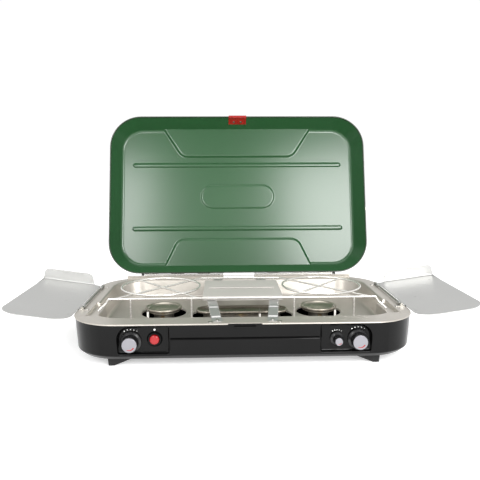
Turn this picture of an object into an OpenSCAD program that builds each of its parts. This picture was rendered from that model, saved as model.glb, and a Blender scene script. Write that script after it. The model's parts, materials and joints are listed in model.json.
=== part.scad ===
// Three-burner folding camp stove: pressed-steel case, stainless deck pan,
// one-piece wire grate, two folding wind guards and a hinged lid.
// Millimetres, +X to the right, +Y to the back, +Z up.
// Origin: on the table, at the centre of the case's footprint.

/* [Case] */
// Width of the case and deck
body_w = 711; // [705:1:714]
// Depth of the case and deck, front to back
body_d = 437; // [435:1:439]
// Height of the deck's rim above the table
deck_z = 95; // [94:0.5:96]
// Corner radius of the case and deck
corner_r = 99.5; // [96:0.5:104]
// Height of the feet under the case
foot_h = 20; // [18:1:21]

/* [Lid] */
// Lid size across
lid_w = 713; // [711:1:716]
// Lid size front to back
lid_d = 441; // [440:1:442]
// Corner radius of the lid
lid_r = 86; // [82:1:90]
// Depth of the pressed lid
lid_depth = 60; // [58:1:66]
// Angle by which the open lid leans back from upright
lid_lean = 13; // [10:1:14]

/* [Wind guards] */
// Reach of a wind guard from its hinge rod to its outer edge
guard_reach = 150; // [144:1:151]
// Angle of an opened guard above level
guard_tilt = 8; // [7:0.5:9]
// Height of the guard's rear flange
flange_h = 28; // [22:1:29]

/* [Cooking top] */
// Radius of a pan-support ring, to the wire's centre
ring_r = 91.5; // [86:0.5:92]
// Distance of each ring's centre from the stove's centre
ring_x = 190; // [188:1:192]
// Distance of each round burner's centre from the stove's centre
burner_x = 184; // [182:1:186]
// Radius of a round burner's cap
burner_r = 43; // [40:1:44]

/* [Controls] */
// Radius of a large knob's skirt
knob_r = 21; // [19:0.5:21.5]
// Distance of the large knobs from the stove's centre
knob_x = 226; // [225:0.5:227]

/* [Hidden] */

$fn = 64;
sheet = 1.2;
half_w = body_w / 2;
half_d = body_d / 2;
steel = "silver";
chrome = "gainsboro";
black = "#1c1b1a";
green = "#3f7a4b";
red = "#a3160f";
brass = "#b08a3e";

// Case: inset of its wall from the deck's outline, at the top, bevel and floor
case_wall = 1.5;
case_top = deck_z - sheet;
case_in_top = sheet + 0.3;
case_in_bevel = 6;
case_bevel_z = foot_h + 9;
case_in_floor = 16;
floor_lap = 20;

// Control pockets in the case's front
pocket_in = 150;
pocket_out = 252;
pocket_bottom = 33;
pocket_top = 89;
pocket_r = 26;
pocket_back = -half_d + 13.5;
panel_front = -half_d + 6;
panel_t = 1.5;
fascia_half = 147.5;

// Deck pan: basin opening, wall draft, floor and the ledges for the grate
basin_half_w = half_w - 35.5;
basin_front = -half_d + 48.5;
basin_back = half_d - 28.5;
basin_d = basin_back - basin_front;
basin_y = (basin_front + basin_back) / 2;
basin_r = 70;
basin_draft = 12;
floor_z = deck_z - 43;
skirt_h = 2.6;
ledge_z = deck_z - 7.5;
ledge_front = -150;
ledge_back = -45;
ledge_in = basin_half_w - 14;
ledge_out = basin_half_w + 6;
notch_half = 30;
notch_depth = 2.4;
deck_screw_spots = [[69, -half_d + 9], [69, half_d - 8.5]];

// Burners
burner_y = 20;
cap_z = deck_z - 35;
cap_h = 8;
bowl_r = 24;
bowl_base = deck_z - 61;
hole_margin = 9;
bar_y = -6;
bar_half = 107;
bar_r = 28;
bar_bowl_half = 90;
bar_bowl_r = 16;
bar_margin = 11;
jet_z = deck_z - 49;
jet_r = 6.5;
jet_l = 16;
nose_l = 4;

// Grate wires
rail_r = 2.2;
spoke_r = 2;
ring_wire_r = 2.5;
grate_z = deck_z + 19.5;
spoke_drop = 2.5;
ring_lift = 1;
ring_y = burner_y + 3;
rail_y = -92;
rail_half = 291;
rear_rail_y = 126;
leg_xs = [112, 244];
rear_leg_x = 84;

// Centre bridge over the bar burner
bridge_half = 88;
bridge_front = -87;
bridge_back = 80;
bridge_z = deck_z + 20;
bridge_t = 1.5;
bridge_lip = 7;
arm_w = 21;
arm_x = 68;
arm_turn = 6.4;
arm_screw = 112;

// Rear shield strip
shield_half = 300;
shield_y = half_d - 13;
shield_h = 8;
shield_slot_half = 42;

// Wind guard hinge
guard_axis_x = half_w - 10.5;
guard_axis_z = deck_z + 4;
rod_r = 2;
rod_half = 108;
guard_knuckle_r = 3.6;
guard_fit = 0.06;
guard_front = -195;
guard_back = 118;
guard_inner = 8;
guard_in_corner = 40;
guard_out_corner = 45;
flange_in = 26;
bracket_y = 104;
bracket_w = 8;
knuckle_y = 87;
knuckle_w = 14;

// Lid hinge
pivot_y = half_d + 7;
pivot_z = deck_z + 5;
hinge_r = 3.6;
pin_r = 1.8;
pin_fit = 0.06;
hinge_in = 42;
hinge_out = 256;
hinge_count = 6;
hinge_gap = 0.4;
leaf_t = 1.2;
leaf_low = deck_z - 15;
hinge_screw_xs = [100, 200];

// Lid pressing: hem, wall slope, fillet and embossing
lid_rim_z = deck_z + 3.6;
lid_t = 1.2;
lid_hem = 4;
lid_bead = 3;
lid_wall_in = 24.5;
lid_fillet = 12;
lid_lap = 30;
wall_angle = atan2(lid_depth - lid_hem, lid_wall_in);
emboss = 5;
front_trap_y = -116;
rear_trap_y = 116;
trap_wide = 216;
trap_narrow = 154;
trap_round = 24;
rib_half = 300;
rib_r = 6.5;
rib_ys = [-92, 92];
rib_h = 4;
plaque_half = 104;
plaque_r = 33;
plaque_h = 2.5;
clip_y = 45;

// Latch
latch_half = 25;
lug_in = 15;
lug_out = 19;
lug_r = 4;
latch_open = 195;
lever_half = 14.5;
lever_wide = 22;
lever_in = 1.7;
lever_t = 2.7;
latch_pin_r = 1.5;
catch_low = deck_z - 10;
catch_high = deck_z - 6;
rivet_x = 10;
rivet_up = 20;
rivet_r = 1.6;

// Controls
knob_z = 56.5;
small_x = 183.5;
small_z = 58.5;
small_r = 14;
grip_in = 5;
knob_h = 22;
knob_bore = 15;
button_x = -179;
button_z = 62;
button_r = 9.5;
button_clear = 0.3;
button_l = 14.5;
stem_r = 3;
stem_fit = 0.05;
stem_hole_r = 6;
knob_back = pocket_back - panel_t - 0.5;
valve_front = pocket_back + 0.1;
valve_l = 27;
valve_r = 9;
manifold_z = 38;
manifold_y = -190;
manifold_r = 5;
gas_tube_r = 3;
inlet_y = -60;
inlet_r = 10;
inlet_l = 25;
inlet_bore_r = 6;
inlet_bore_l = 12;
inlet_face = half_w - 3.5;
piezo_l = 28;
lead_r = 1.25;
spark_r = 2.5;
spark_spots = [
    [-burner_x - 33.8, burner_y - 33.8],
    [40, bar_y - bar_r - 5.5],
    [burner_x + 33.8, burner_y - 33.8]
];

// Points of an arc about (cx, cy)
function arc(cx, cy, r, a0, a1, steps) =
    [for (i = [0 : steps]) let (a = a0 + (a1 - a0) * i / steps) [cx + r * cos(a), cy + r * sin(a)]];

// Inset of the case's outer face at a height
function case_in(z) =
    case_in_top + (case_in_bevel - case_in_top) * (case_top - z) / (case_top - case_bevel_z);

// Point on the closed lid's front wall: distance up the wall and distance off its outside
function wall_point(up, off) = [
    -lid_d / 2 + up * cos(wall_angle) - off * sin(wall_angle),
    lid_rim_z + lid_hem + up * sin(wall_angle) + off * cos(wall_angle)
];

latch_axis = wall_point(16, 7.5);

module rounded_rect(w, d, r) {
    square([w - 2 * r, d], center = true);
    square([w, d - 2 * r], center = true);
    for (sx = [-1, 1], sy = [-1, 1])
        translate([sx * (w / 2 - r), sy * (d / 2 - r)]) circle(r);
}

module stadium(half_length, r) {
    square([2 * (half_length - r), 2 * r], center = true);
    for (s = [-1, 1]) translate([s * (half_length - r), 0]) circle(r);
}

// Sweeps a profile round a rounded rectangle. The profile's x is the distance
// inside the outline and its y is the height.
module rim_sweep(w, d, r) {
    for (turn = [0 : 3]) {
        along = turn % 2 == 0 ? d - 2 * r : w - 2 * r;
        across = turn % 2 == 0 ? w / 2 : d / 2;
        rotate([0, 0, 90 * turn]) {
            translate([across, along / 2, 0])
                rotate([90, 0, 0]) linear_extrude(along) mirror([1, 0]) children();
            translate([across - r, along / 2, 0])
                rotate_extrude(angle = 90) translate([r, 0]) mirror([1, 0]) children();
        }
    }
}

// Straight round bar from one point to another
module bar(from, to, r) {
    reach = to - from;
    length = norm(reach);
    translate(from)
        rotate([0, acos(reach[2] / length), atan2(reach[1], reach[0])])
            cylinder(h = length, r = r);
}

// Round bar through a list of points, with ball corners a little wider than the bar
module pipe(points, r, wider = 0.08) {
    for (i = [0 : len(points) - 2]) bar(points[i], points[i + 1], r);
    if (len(points) > 2)
        for (i = [1 : len(points) - 2]) translate(points[i]) sphere(r + wider);
}

// Cylinder along +Y, starting at y
module along_y(x, y, z, length, r) {
    translate([x, y, z]) rotate([-90, 0, 0]) cylinder(h = length, r = r);
}

// Side profile in Y and Z, extruded along X between two places
module extrude_x(from, to) {
    translate([from, 0, 0]) rotate([90, 0, 90]) linear_extrude(to - from) children();
}

module both_sides() {
    children();
    mirror([1, 0, 0]) children();
}

// ---- Case ----

module case_profile() {
    polygon([
        [case_in_top, case_top],
        [case_in_bevel, case_bevel_z],
        [case_in_floor, foot_h],
        [case_in_floor + floor_lap, foot_h],
        [case_in_floor + floor_lap, foot_h + case_wall],
        [case_in_floor + 0.7, foot_h + case_wall],
        [case_in_bevel + case_wall, case_bevel_z + 0.8],
        [case_in_top + case_wall, case_top]
    ]);
}

// Right-hand control pocket seen from the front, moved inwards by a wall
module pocket_outline(wall) {
    w = pocket_out - pocket_in - 2 * wall;
    h = pocket_top - pocket_bottom - 2 * wall;
    r = pocket_r - wall;
    translate([pocket_in + wall, pocket_bottom + wall]) {
        square([w, h - r]);
        square([w - r, h]);
        translate([w - r, h - r]) circle(r);
    }
}

module pocket_prism(from, to, wall) {
    translate([0, to, 0]) rotate([90, 0, 0]) linear_extrude(to - from) pocket_outline(wall);
}

module vent_slots(x, y) {
    for (i = [-2 : 2])
        translate([x + 16 * i, y, foot_h - 1])
            linear_extrude(4) rotate([0, 0, 90]) stadium(30, 3);
}

module base_case() color(black) difference() {
    inset = case_in_floor + floor_lap - 2;
    union() {
        rim_sweep(body_w, body_d, corner_r) case_profile();
        translate([0, 0, foot_h]) linear_extrude(case_wall)
            rounded_rect(body_w - 2 * inset, body_d - 2 * inset, corner_r - inset);
    }
    both_sides() pocket_prism(-half_d - 20, -half_d + 20, 0);
    translate([inlet_face - 20, inlet_y, manifold_z]) rotate([0, 90, 0]) cylinder(h = 40, r = inlet_r + 2);
    for (x = [-burner_x, 0, burner_x]) vent_slots(x, burner_y);
    for (s = [-1, 1], x = hinge_screw_xs) along_y(s * x, half_d - 12, leaf_low + 5, 20, 1.6);
}

// Raised band along the lower front, with its ledge
module front_fascia() color(black) extrude_x(-fascia_half, fascia_half)
    polygon([
        [-half_d + case_in(66), 66],
        [-half_d - 0.4, 64.6],
        [-half_d - 1.2, 63],
        [-half_d + 2, 31],
        [-half_d + 3.4, 29.4],
        [-half_d + case_in(29.4), 29.4]
    ]);

module panel_tray() difference() {
    pocket_prism(panel_front, pocket_back, 0);
    pocket_prism(panel_front - 10, pocket_back - panel_t, panel_t);
}

module control_panel_left() color(black) difference() {
    union() {
        mirror([1, 0, 0]) panel_tray();
        along_y(button_x, pocket_back - panel_t - 4, button_z, 4.5, button_r + 4);
    }
    along_y(button_x, -half_d - 10, button_z, 40, button_r + button_clear);
    along_y(-knob_x, -half_d - 10, knob_z, 40, stem_hole_r);
}

module control_panel_right() color(black) difference() {
    panel_tray();
    along_y(small_x, -half_d - 10, small_z, 40, stem_hole_r);
    along_y(knob_x, -half_d - 10, knob_z, 40, stem_hole_r);
}

// Wedge feet, upright on the outer side and sloping up towards the middle
module feet() color("#151515")
    both_sides() for (y = [-155, 185])
        translate([0, y, 0]) rotate([90, 0, 0]) linear_extrude(30)
            polygon([[214, foot_h], [264, 0], [276, 0], [278, foot_h]]);

module latch_catch() color(black) extrude_x(-lever_wide, lever_wide)
    polygon([
        [-half_d + case_in(catch_low), catch_low],
        [-half_d + case_in(catch_high), catch_high],
        [-half_d - 1.5, catch_high],
        [-half_d - 1.5, catch_low]
    ]);

// ---- Deck ----

module basin_wall_profile() {
    polygon([
        [0, deck_z],
        [basin_draft, floor_z],
        [basin_draft + 8, floor_z],
        [basin_draft + 8, floor_z - sheet],
        [basin_draft - 0.9, floor_z - sheet],
        [-sheet, deck_z - sheet],
        [-sheet, deck_z]
    ]);
}

module pan_pressing() {
    inset = basin_draft + 6;
    translate([0, 0, deck_z - sheet]) linear_extrude(sheet) difference() {
        rounded_rect(body_w, body_d, corner_r);
        translate([0, basin_y]) rounded_rect(2 * basin_half_w, basin_d, basin_r);
    }
    rim_sweep(body_w, body_d, corner_r)
        translate([0, deck_z - skirt_h]) square([sheet, skirt_h]);
    translate([0, basin_y, 0]) {
        rim_sweep(2 * basin_half_w, basin_d, basin_r) basin_wall_profile();
        translate([0, 0, floor_z - sheet]) linear_extrude(sheet)
            rounded_rect(2 * basin_half_w - 2 * inset, basin_d - 2 * inset, basin_r - inset);
    }
}

module ledge_cut() {
    translate([ledge_in, ledge_front, ledge_z])
        cube([ledge_out - ledge_in, ledge_back - ledge_front, 20]);
}

// Right-hand ledge that the end of the front rail sits on
module ledge_tray() {
    length = ledge_back - ledge_front;
    wall_h = deck_z - ledge_z + sheet;
    lap = 3;
    translate([ledge_in, ledge_front, floor_z]) cube([sheet, length, ledge_z - floor_z]);
    translate([ledge_in, ledge_front, ledge_z - sheet]) cube([ledge_out - ledge_in, length, sheet]);
    translate([ledge_out, ledge_front - sheet, ledge_z - sheet]) cube([sheet, length + 2 * sheet, wall_h]);
    for (y = [ledge_front - sheet, ledge_back])
        translate([basin_half_w - lap, y, ledge_z - sheet])
            cube([ledge_out - basin_half_w + lap, sheet, wall_h]);
}

module deck_pan() color(steel) difference() {
    union() {
        difference() {
            pan_pressing();
            both_sides() ledge_cut();
        }
        both_sides() ledge_tray();
    }
    for (s = [-1, 1])
        translate([s * burner_x, burner_y, floor_z - 10]) cylinder(h = 20, r = burner_r + hole_margin);
    translate([0, bar_y, floor_z - 10])
        linear_extrude(20) stadium(bar_half + bar_margin, bar_r + bar_margin);
    translate([-notch_half, -half_d - 1, deck_z - skirt_h - 1])
        cube([2 * notch_half, notch_depth + 1, skirt_h + 2]);
    both_sides() for (spot = deck_screw_spots)
        translate([spot[0], spot[1], deck_z - 5]) cylinder(h = 10, r = 1.6);
    arm_screw_holes();
}

module screw(head_r, shank_l) {
    cylinder(h = 1.8, r = head_r);
    translate([0, 0, -shank_l]) cylinder(h = shank_l, r = 1.5);
}

// Puts its children at the screw of each bridge arm
module at_arm_screws() both_sides() {
    translate([arm_x, bridge_front, deck_z]) rotate([0, 0, -arm_turn]) translate([0, -arm_screw, 0]) children();
    translate([arm_x, bridge_back, deck_z]) rotate([0, 0, arm_turn]) translate([0, arm_screw + 4, 0]) children();
}

module arm_screw_holes() at_arm_screws() translate([0, 0, -4]) cylinder(h = 8, r = 1.6);

module deck_screws() color(chrome) {
    both_sides() for (spot = deck_screw_spots)
        translate([spot[0], spot[1], deck_z]) screw(4.2, 8);
    at_arm_screws() translate([0, 0, sheet]) screw(3.4, 8);
    for (s = [-1, 1], x = hinge_screw_xs)
        translate([s * x, half_d + leaf_t, leaf_low + 5]) rotate([-90, 0, 0]) screw(3.4, 8);
}

// Sheet strip along a list of [distance, height] points of its underside
module strip(points) {
    last = len(points) - 1;
    polygon(concat(points, [for (i = [last : -1 : 0]) [points[i][0], points[i][1] + sheet]]));
}

// Bridge arm running towards +Y: tongue under the plate, two joggles and a foot
module bridge_arm(run) {
    extrude_x(-arm_w / 2, arm_w / 2)
        strip([[-1, 13.5], [0.34 * run, 9.5], [0.37 * run, 7.5], [0.74 * run, 2.5], [0.77 * run, 0], [run, 0]]);
}

module centre_bridge() color(steel) difference() {
    union() {
        translate([-bridge_half, bridge_front, bridge_z])
            cube([2 * bridge_half, bridge_back - bridge_front, bridge_t]);
        for (y = [bridge_front, bridge_back - bridge_t])
            translate([-bridge_half, y, bridge_z - bridge_lip])
                cube([2 * bridge_half, bridge_t, bridge_lip + bridge_t]);
        both_sides() {
            translate([arm_x, bridge_front, deck_z]) rotate([0, 0, 180 - arm_turn]) bridge_arm(121);
            translate([arm_x, bridge_back, deck_z]) rotate([0, 0, arm_turn]) bridge_arm(122);
        }
    }
    translate([-bridge_half + 12, -9, bridge_z - 1]) cube([2 * bridge_half - 24, 8, bridge_t + 2]);
    arm_screw_holes();
}

// Angle strip along the back of the deck, slotted in the middle
module rear_shield() color(steel) difference() {
    extrude_x(-shield_half, shield_half)
        polygon([
            [shield_y - 9, deck_z],
            [shield_y, deck_z],
            [shield_y, deck_z + shield_h],
            [shield_y - sheet, deck_z + shield_h],
            [shield_y - sheet, deck_z + sheet],
            [shield_y - 9, deck_z + sheet]
        ]);
    translate([-shield_slot_half, shield_y - 5, deck_z + 2]) cube([2 * shield_slot_half, 10, 4.4]);
    arm_clear = arm_w / 2 + 2;
    arm_foot_x = arm_x - 120 * sin(arm_turn);
    for (s = [-1, 1]) translate([s * arm_foot_x - arm_clear, shield_y - 20, deck_z - 1])
        cube([2 * arm_clear, 18.8, sheet + 3]);
}

// ---- Lid hinge ----

// Puts its children over each knuckle of one parity, on both sides
module at_knuckles(parity) {
    step = (hinge_out - hinge_in) / hinge_count;
    both_sides() for (i = [parity : 2 : hinge_count - 1])
        extrude_x(hinge_in + i * step + hinge_gap / 2, hinge_in + (i + 1) * step - hinge_gap / 2)
            children();
}

module knuckle_ring(bore) translate([pivot_y, pivot_z]) difference() {
    circle(hinge_r);
    circle(bore);
}

module case_hinge_leaves() color(steel) difference() {
    union() {
        both_sides() {
            extrude_x(hinge_in, hinge_out + 10)
                translate([half_d, leaf_low]) square([leaf_t, deck_z - 2 - leaf_low]);
            extrude_x(hinge_out + 2, hinge_out + 10) lid_stop();
        }
        at_knuckles(0) {
            polygon([
                [half_d, deck_z - 2.5],
                [half_d + leaf_t, deck_z - 2.5],
                [half_d + leaf_t, deck_z - 1],
                [pivot_y, pivot_z - 3.5],
                [pivot_y, pivot_z - 2.3],
                [half_d, deck_z + 0.2]
            ]);
            knuckle_ring(pin_r);
        }
    }
    for (s = [-1, 1], x = hinge_screw_xs) along_y(s * x, half_d - 5, leaf_low + 5, 10, 1.6);
}

// Ear that the open lid's back wall rests on
module lid_stop() {
    polygon([
        [half_d, leaf_low + 4],
        [half_d + 1.5, leaf_low + 4],
        [half_d + 1.5, deck_z - 5],
        [pivot_y + 12, pivot_z + 4],
        [pivot_y + 12, pivot_z + 5.1],
        [pivot_y + 6, pivot_z + 4.1],
        [half_d, deck_z - 1]
    ]);
}

module lid_hinge_pins() color(steel)
    both_sides() translate([hinge_in, pivot_y, pivot_z])
        rotate([0, 90, 0]) cylinder(h = hinge_out - hinge_in, r = pin_r);

// ---- Lid, drawn closed and then swung open ----

module open_lid()
    translate([0, pivot_y, pivot_z]) rotate([-90 - lid_lean, 0, 0])
        translate([0, -pivot_y, -pivot_z]) children();

fillet_x = lid_wall_in + lid_fillet / tan(90 - wall_angle / 2);
fillet_z = lid_depth - lid_fillet;

module lid_profile() {
    translate([0, lid_rim_z]) polygon(concat(
        [[0, 0], [0, lid_hem]],
        arc(fillet_x, fillet_z, lid_fillet, 90 + wall_angle, 90, 5),
        [[lid_wall_in + lid_lap, lid_depth], [lid_wall_in + lid_lap, lid_depth - lid_t]],
        arc(fillet_x, fillet_z, lid_fillet - lid_t, 90, 90 + wall_angle, 5),
        [[lid_t / sin(wall_angle), lid_hem], [lid_t, lid_hem - 1], [lid_bead, lid_hem - 1], [lid_bead, 0]]
    ));
}

// The lid's outer shape as a solid block from a height up, for trimming the embossing
module lid_envelope_profile() {
    translate([0, lid_rim_z]) polygon(concat(
        [[lid_wall_in + lid_lap, lid_hem], [0, lid_hem]],
        arc(fillet_x, fillet_z, lid_fillet, 90 + wall_angle, 90, 5),
        [[lid_wall_in + lid_lap, lid_depth]]
    ));
}

module lid_floor(from, to) {
    inset = lid_wall_in + lid_lap - 2;
    translate([0, 0, lid_rim_z + from]) linear_extrude(to - from)
        rounded_rect(lid_w - 2 * inset, lid_d - 2 * inset, lid_r - inset);
}

// Trapezoid panel that runs out at the edge, with rounded inner corners
module trapezoid(inner_y, outer_y, grow) {
    side = atan2(abs(outer_y - inner_y), trap_wide - trap_narrow);
    s = outer_y > inner_y ? 1 : -1;
    reach = trap_round * tan(side / 2);
    r = trap_round + grow;
    corner = arc(trap_narrow - reach, inner_y + s * trap_round, r, -s * 90, -s * (90 - side), 6);
    right = concat(corner, [[trap_wide + grow, outer_y]]);
    last = len(right) - 1;
    polygon(concat(right, [for (i = [last : -1 : 0]) [-right[i][0], right[i][1]]]));
}

module trapezoids(from, to, grow) {
    edge = lid_d / 2;
    translate([0, 0, lid_rim_z + from]) linear_extrude(to - from) {
        trapezoid(front_trap_y, -edge, grow);
        trapezoid(rear_trap_y, edge, grow);
    }
}

module ribs(from, to, grow) {
    translate([0, 0, lid_rim_z + from]) linear_extrude(to - from)
        for (y = rib_ys) translate([0, y]) stadium(rib_half + grow, rib_r + grow);
}

module plaque(from, to, grow) {
    translate([0, 0, lid_rim_z + from]) linear_extrude(to - from)
        stadium(plaque_half + grow, plaque_r + grow);
}

module lid_shell() color(green) open_lid() difference() {
    inside = lid_depth - lid_t;
    union() {
        rim_sweep(lid_w, lid_d, lid_r) lid_profile();
        lid_floor(inside, lid_depth);
        intersection() {
            trapezoids(inside - emboss, lid_depth + 1, lid_t);
            union() {
                rim_sweep(lid_w, lid_d, lid_r) lid_envelope_profile();
                lid_floor(lid_hem, lid_depth);
            }
        }
        ribs(inside - rib_h, inside + 0.5, lid_t);
        plaque(inside - plaque_h, inside + 0.5, lid_t);
    }
    trapezoids(lid_depth - emboss, lid_depth + 5, 0);
    ribs(lid_depth - rib_h, lid_depth + 5, 0);
    plaque(lid_depth - plaque_h, lid_depth + 5, 0);
    for (s = [-1, 1]) at_rivet(s * rivet_x) cylinder(h = 30, r = rivet_r, center = true);
}

module lid_hinge_leaves() color(steel) open_lid() mirror([0, 1, 0]) {
    leaf_low_point = wall_point(1.6, 0);
    both_sides() extrude_x(hinge_in, hinge_out)
        polygon([wall_point(1.6, 0), wall_point(17, 0), wall_point(17, leaf_t), wall_point(1.6, leaf_t)]);
    at_knuckles(1) {
        mirror([1, 0]) knuckle_ring(pin_r + pin_fit);
        polygon([
            [-pivot_y, pivot_z + 2.2],
            [-pivot_y, pivot_z + 3.5],
            wall_point(1.7, leaf_t),
            leaf_low_point,
            wall_point(0.7, 0),
            [-lid_d / 2 - 0.8, pivot_z + 2.3]
        ]);
    }
}

// Small tabs on the lid's left and right rims
module lid_side_clips() color(chrome) open_lid() both_sides()
    translate([lid_w / 2, clip_y - 4.5, lid_rim_z + 1]) cube([1.3, 9, lid_hem - 1]);

// ---- Latch ----

// Rivet axis through the lid's front wall
module at_rivet(x) {
    spot = wall_point(rivet_up, 0);
    translate([x, spot[0], spot[1]]) rotate([wall_angle, 0, 0]) children();
}

// Clip folded round the lid's front rim, with two lugs for the lever
module latch_bracket() color(red) open_lid() difference() {
    union() {
        extrude_x(-latch_half, latch_half) polygon([
            [-lid_d / 2 - 1.5, lid_rim_z - 1.4],
            wall_point(0.3, 1.5),
            wall_point(24, 1.5),
            wall_point(24, 0),
            wall_point(0, 0),
            [-lid_d / 2, lid_rim_z],
            [-lid_d / 2 + lid_bead, lid_rim_z],
            [-lid_d / 2 + lid_bead, lid_rim_z + lid_hem],
            wall_point(3, -lid_t),
            wall_point(31, -lid_t),
            wall_point(31, -lid_t - 1.5),
            wall_point(12, -lid_t - 1.5),
            wall_point(1, -lid_t - 2.2),
            [-lid_d / 2 + lid_bead + 1.4, lid_rim_z - 1.4]
        ]);
        for (s = [0, 1]) mirror([s, 0, 0]) extrude_x(lug_in, lug_out) {
            translate(latch_axis) circle(lug_r);
            polygon([
                wall_point(7, 1),
                wall_point(23, 1),
                latch_axis + [0, lug_r - 0.2],
                latch_axis + [-lug_r + 0.2, -1]
            ]);
        }
    }
    translate([0, latch_axis[0], latch_axis[1]]) rotate([0, 90, 0])
        cylinder(h = 60, r = latch_pin_r, center = true);
    for (s = [-1, 1]) at_rivet(s * rivet_x) cylinder(h = 30, r = rivet_r, center = true);
}

module latch_rivets() color(chrome) open_lid() for (s = [-1, 1]) at_rivet(s * rivet_x) {
    inner = lid_t + 1.5;
    translate([0, 0, -inner]) cylinder(h = inner + 1.5, r = rivet_r - 0.1);
    translate([0, 0, -inner - 1.2]) cylinder(h = 1.2, r = 2.8);
    translate([0, 0, 1.5]) cylinder(h = 0.8, r = 2.4);
}

module latch_pin() color(chrome) open_lid()
    translate([-lug_out, latch_axis[0], latch_axis[1]]) rotate([0, 90, 0])
        cylinder(h = 2 * lug_out, r = latch_pin_r);

// Lever drawn fastened, with its hook under the catch, then flipped back
module latch_lever() color(red) open_lid()
    translate([0, latch_axis[0], latch_axis[1]]) rotate([-latch_open, 0, 0])
        translate([0, -latch_axis[0], -latch_axis[1]]) difference() {
            hook_top = catch_low - 0.5;
            hook_low = hook_top - 3.2;
            back = latch_axis[0] - lever_in;
            front = back - lever_t;
            union() {
                extrude_x(-lever_half, lever_half) {
                    translate(latch_axis) circle(lug_r);
                    translate([front, latch_axis[1] - 14]) square([lever_t, 14]);
                }
                extrude_x(-lever_wide, lever_wide) polygon([
                    [back, latch_axis[1] - 11],
                    [front, latch_axis[1] - 11],
                    [front, hook_low],
                    [front - 3, hook_low - 4],
                    [front - 1, hook_low - 4.6],
                    [back, hook_low],
                    [-half_d + 0.5, hook_low],
                    [-half_d + 0.5, hook_top],
                    [back, hook_top]
                ]);
            }
            translate([0, latch_axis[0], latch_axis[1]]) rotate([0, 90, 0])
                cylinder(h = 60, r = latch_pin_r + pin_fit, center = true);
        }

// ---- Wind guards ----

// Brackets on the right-hand rim that carry the hinge rod
module guard_brackets_right() color(steel) for (s = [-1, 1])
    translate([guard_axis_x, s * bracket_y + bracket_w / 2, 0]) rotate([90, 0, 0])
        linear_extrude(bracket_w) difference() {
            union() {
                translate([0, guard_axis_z]) circle(guard_knuckle_r + 0.2);
                translate([-3, deck_z]) square([6, guard_axis_z - deck_z]);
                translate([-14, deck_z]) square([24, sheet]);
            }
            translate([0, guard_axis_z]) circle(rod_r);
        }

module guard_brackets_left() mirror([1, 0, 0]) guard_brackets_right();

module guard_rod_right() color(steel) along_y(guard_axis_x, -rod_half, guard_axis_z, 2 * rod_half, rod_r);

module guard_rod_left() mirror([1, 0, 0]) guard_rod_right();

// Guard plate in its own frame: x away from the hinge rod, z square to the plate
module guard_plate() {
    in_x = guard_inner + guard_in_corner;
    out_x = guard_reach - guard_out_corner;
    translate([0, 0, -guard_knuckle_r]) linear_extrude(sheet) polygon(concat(
        [[guard_inner, guard_back]],
        arc(in_x, guard_front + guard_in_corner, guard_in_corner, 180, 270, 8),
        arc(out_x, guard_front + guard_out_corner, guard_out_corner, 270, 360, 8),
        [[guard_reach, guard_back]]
    ));
}

module guard_flange() {
    low = -guard_knuckle_r;
    high = low + flange_h;
    in_r = 18;
    out_r = 10;
    translate([0, guard_back, 0]) rotate([90, 0, 0]) linear_extrude(sheet) polygon(concat(
        [[flange_in, low], [guard_reach, low]],
        arc(guard_reach - out_r, high - out_r, out_r, 0, 90, 5),
        arc(flange_in + in_r, high - in_r, in_r, 90, 180, 6)
    ));
}

module wind_guard_right() color(steel)
    translate([guard_axis_x, 0, guard_axis_z]) rotate([0, -guard_tilt, 0]) {
        guard_plate();
        guard_flange();
        for (s = [-1, 1]) translate([0, s * knuckle_y + knuckle_w / 2, 0]) rotate([90, 0, 0])
            linear_extrude(knuckle_w) difference() {
                union() {
                    circle(guard_knuckle_r);
                    translate([0, -guard_knuckle_r]) square([guard_inner + 1, sheet]);
                }
                circle(rod_r + guard_fit);
            }
    }

module wind_guard_left() mirror([1, 0, 0]) wind_guard_right();

// ---- Burners ----

module round_bowl(x) color(steel) difference() {
    translate([x, burner_y, 0]) rotate_extrude() polygon([
        [0, bowl_base],
        [bowl_r, bowl_base],
        [bowl_r, cap_z - 8],
        [burner_r - 5, cap_z - 1.5],
        [burner_r - 5, cap_z],
        [burner_r - 6.5, cap_z],
        [bowl_r - 1.5, cap_z - 7],
        [bowl_r - 1.5, bowl_base + 1.5],
        [0, bowl_base + 1.5]
    ]);
    along_y(x, burner_y - bowl_r - 10, jet_z, 20, 5);
}

// Cap with a raised outer rim round a shallow dish
module round_cap(x) color(chrome) translate([x, burner_y, cap_z]) rotate_extrude() polygon([
    [0, 0],
    [burner_r - 4, 0],
    [burner_r, 4],
    [burner_r, cap_h - 0.8],
    [burner_r - 0.8, cap_h],
    [burner_r - 5, cap_h],
    [burner_r - 9, cap_h - 4],
    [burner_r - 18, cap_h - 5.5],
    [0, cap_h - 5.5]
]);

module burner_left_bowl() round_bowl(-burner_x);
module burner_left_cap() round_cap(-burner_x);
module burner_right_bowl() round_bowl(burner_x);
module burner_right_cap() round_cap(burner_x);

module burner_centre_bowl() color(steel) difference() {
    translate([0, bar_y, bowl_base]) linear_extrude(cap_z - bowl_base) stadium(bar_bowl_half, bar_bowl_r);
    translate([0, bar_y, bowl_base + 1.5]) linear_extrude(cap_z) stadium(bar_bowl_half - 1.5, bar_bowl_r - 1.5);
    along_y(0, bar_y - bar_bowl_r - 10, jet_z, 20, 5);
}

module burner_centre_cap() color(chrome) translate([0, bar_y, cap_z]) difference() {
    union() {
        linear_extrude(3) stadium(bar_half - 4, bar_r - 4);
        translate([0, 0, 3]) linear_extrude(cap_h - 3) stadium(bar_half, bar_r);
    }
    translate([0, 0, 3]) linear_extrude(cap_h) stadium(bar_half - 5, bar_r - 5);
}

jet_spots = [
    [-burner_x, burner_y - bowl_r + 1],
    [0, bar_y - bar_bowl_r + 1],
    [burner_x, burner_y - bowl_r + 1]
];

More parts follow.
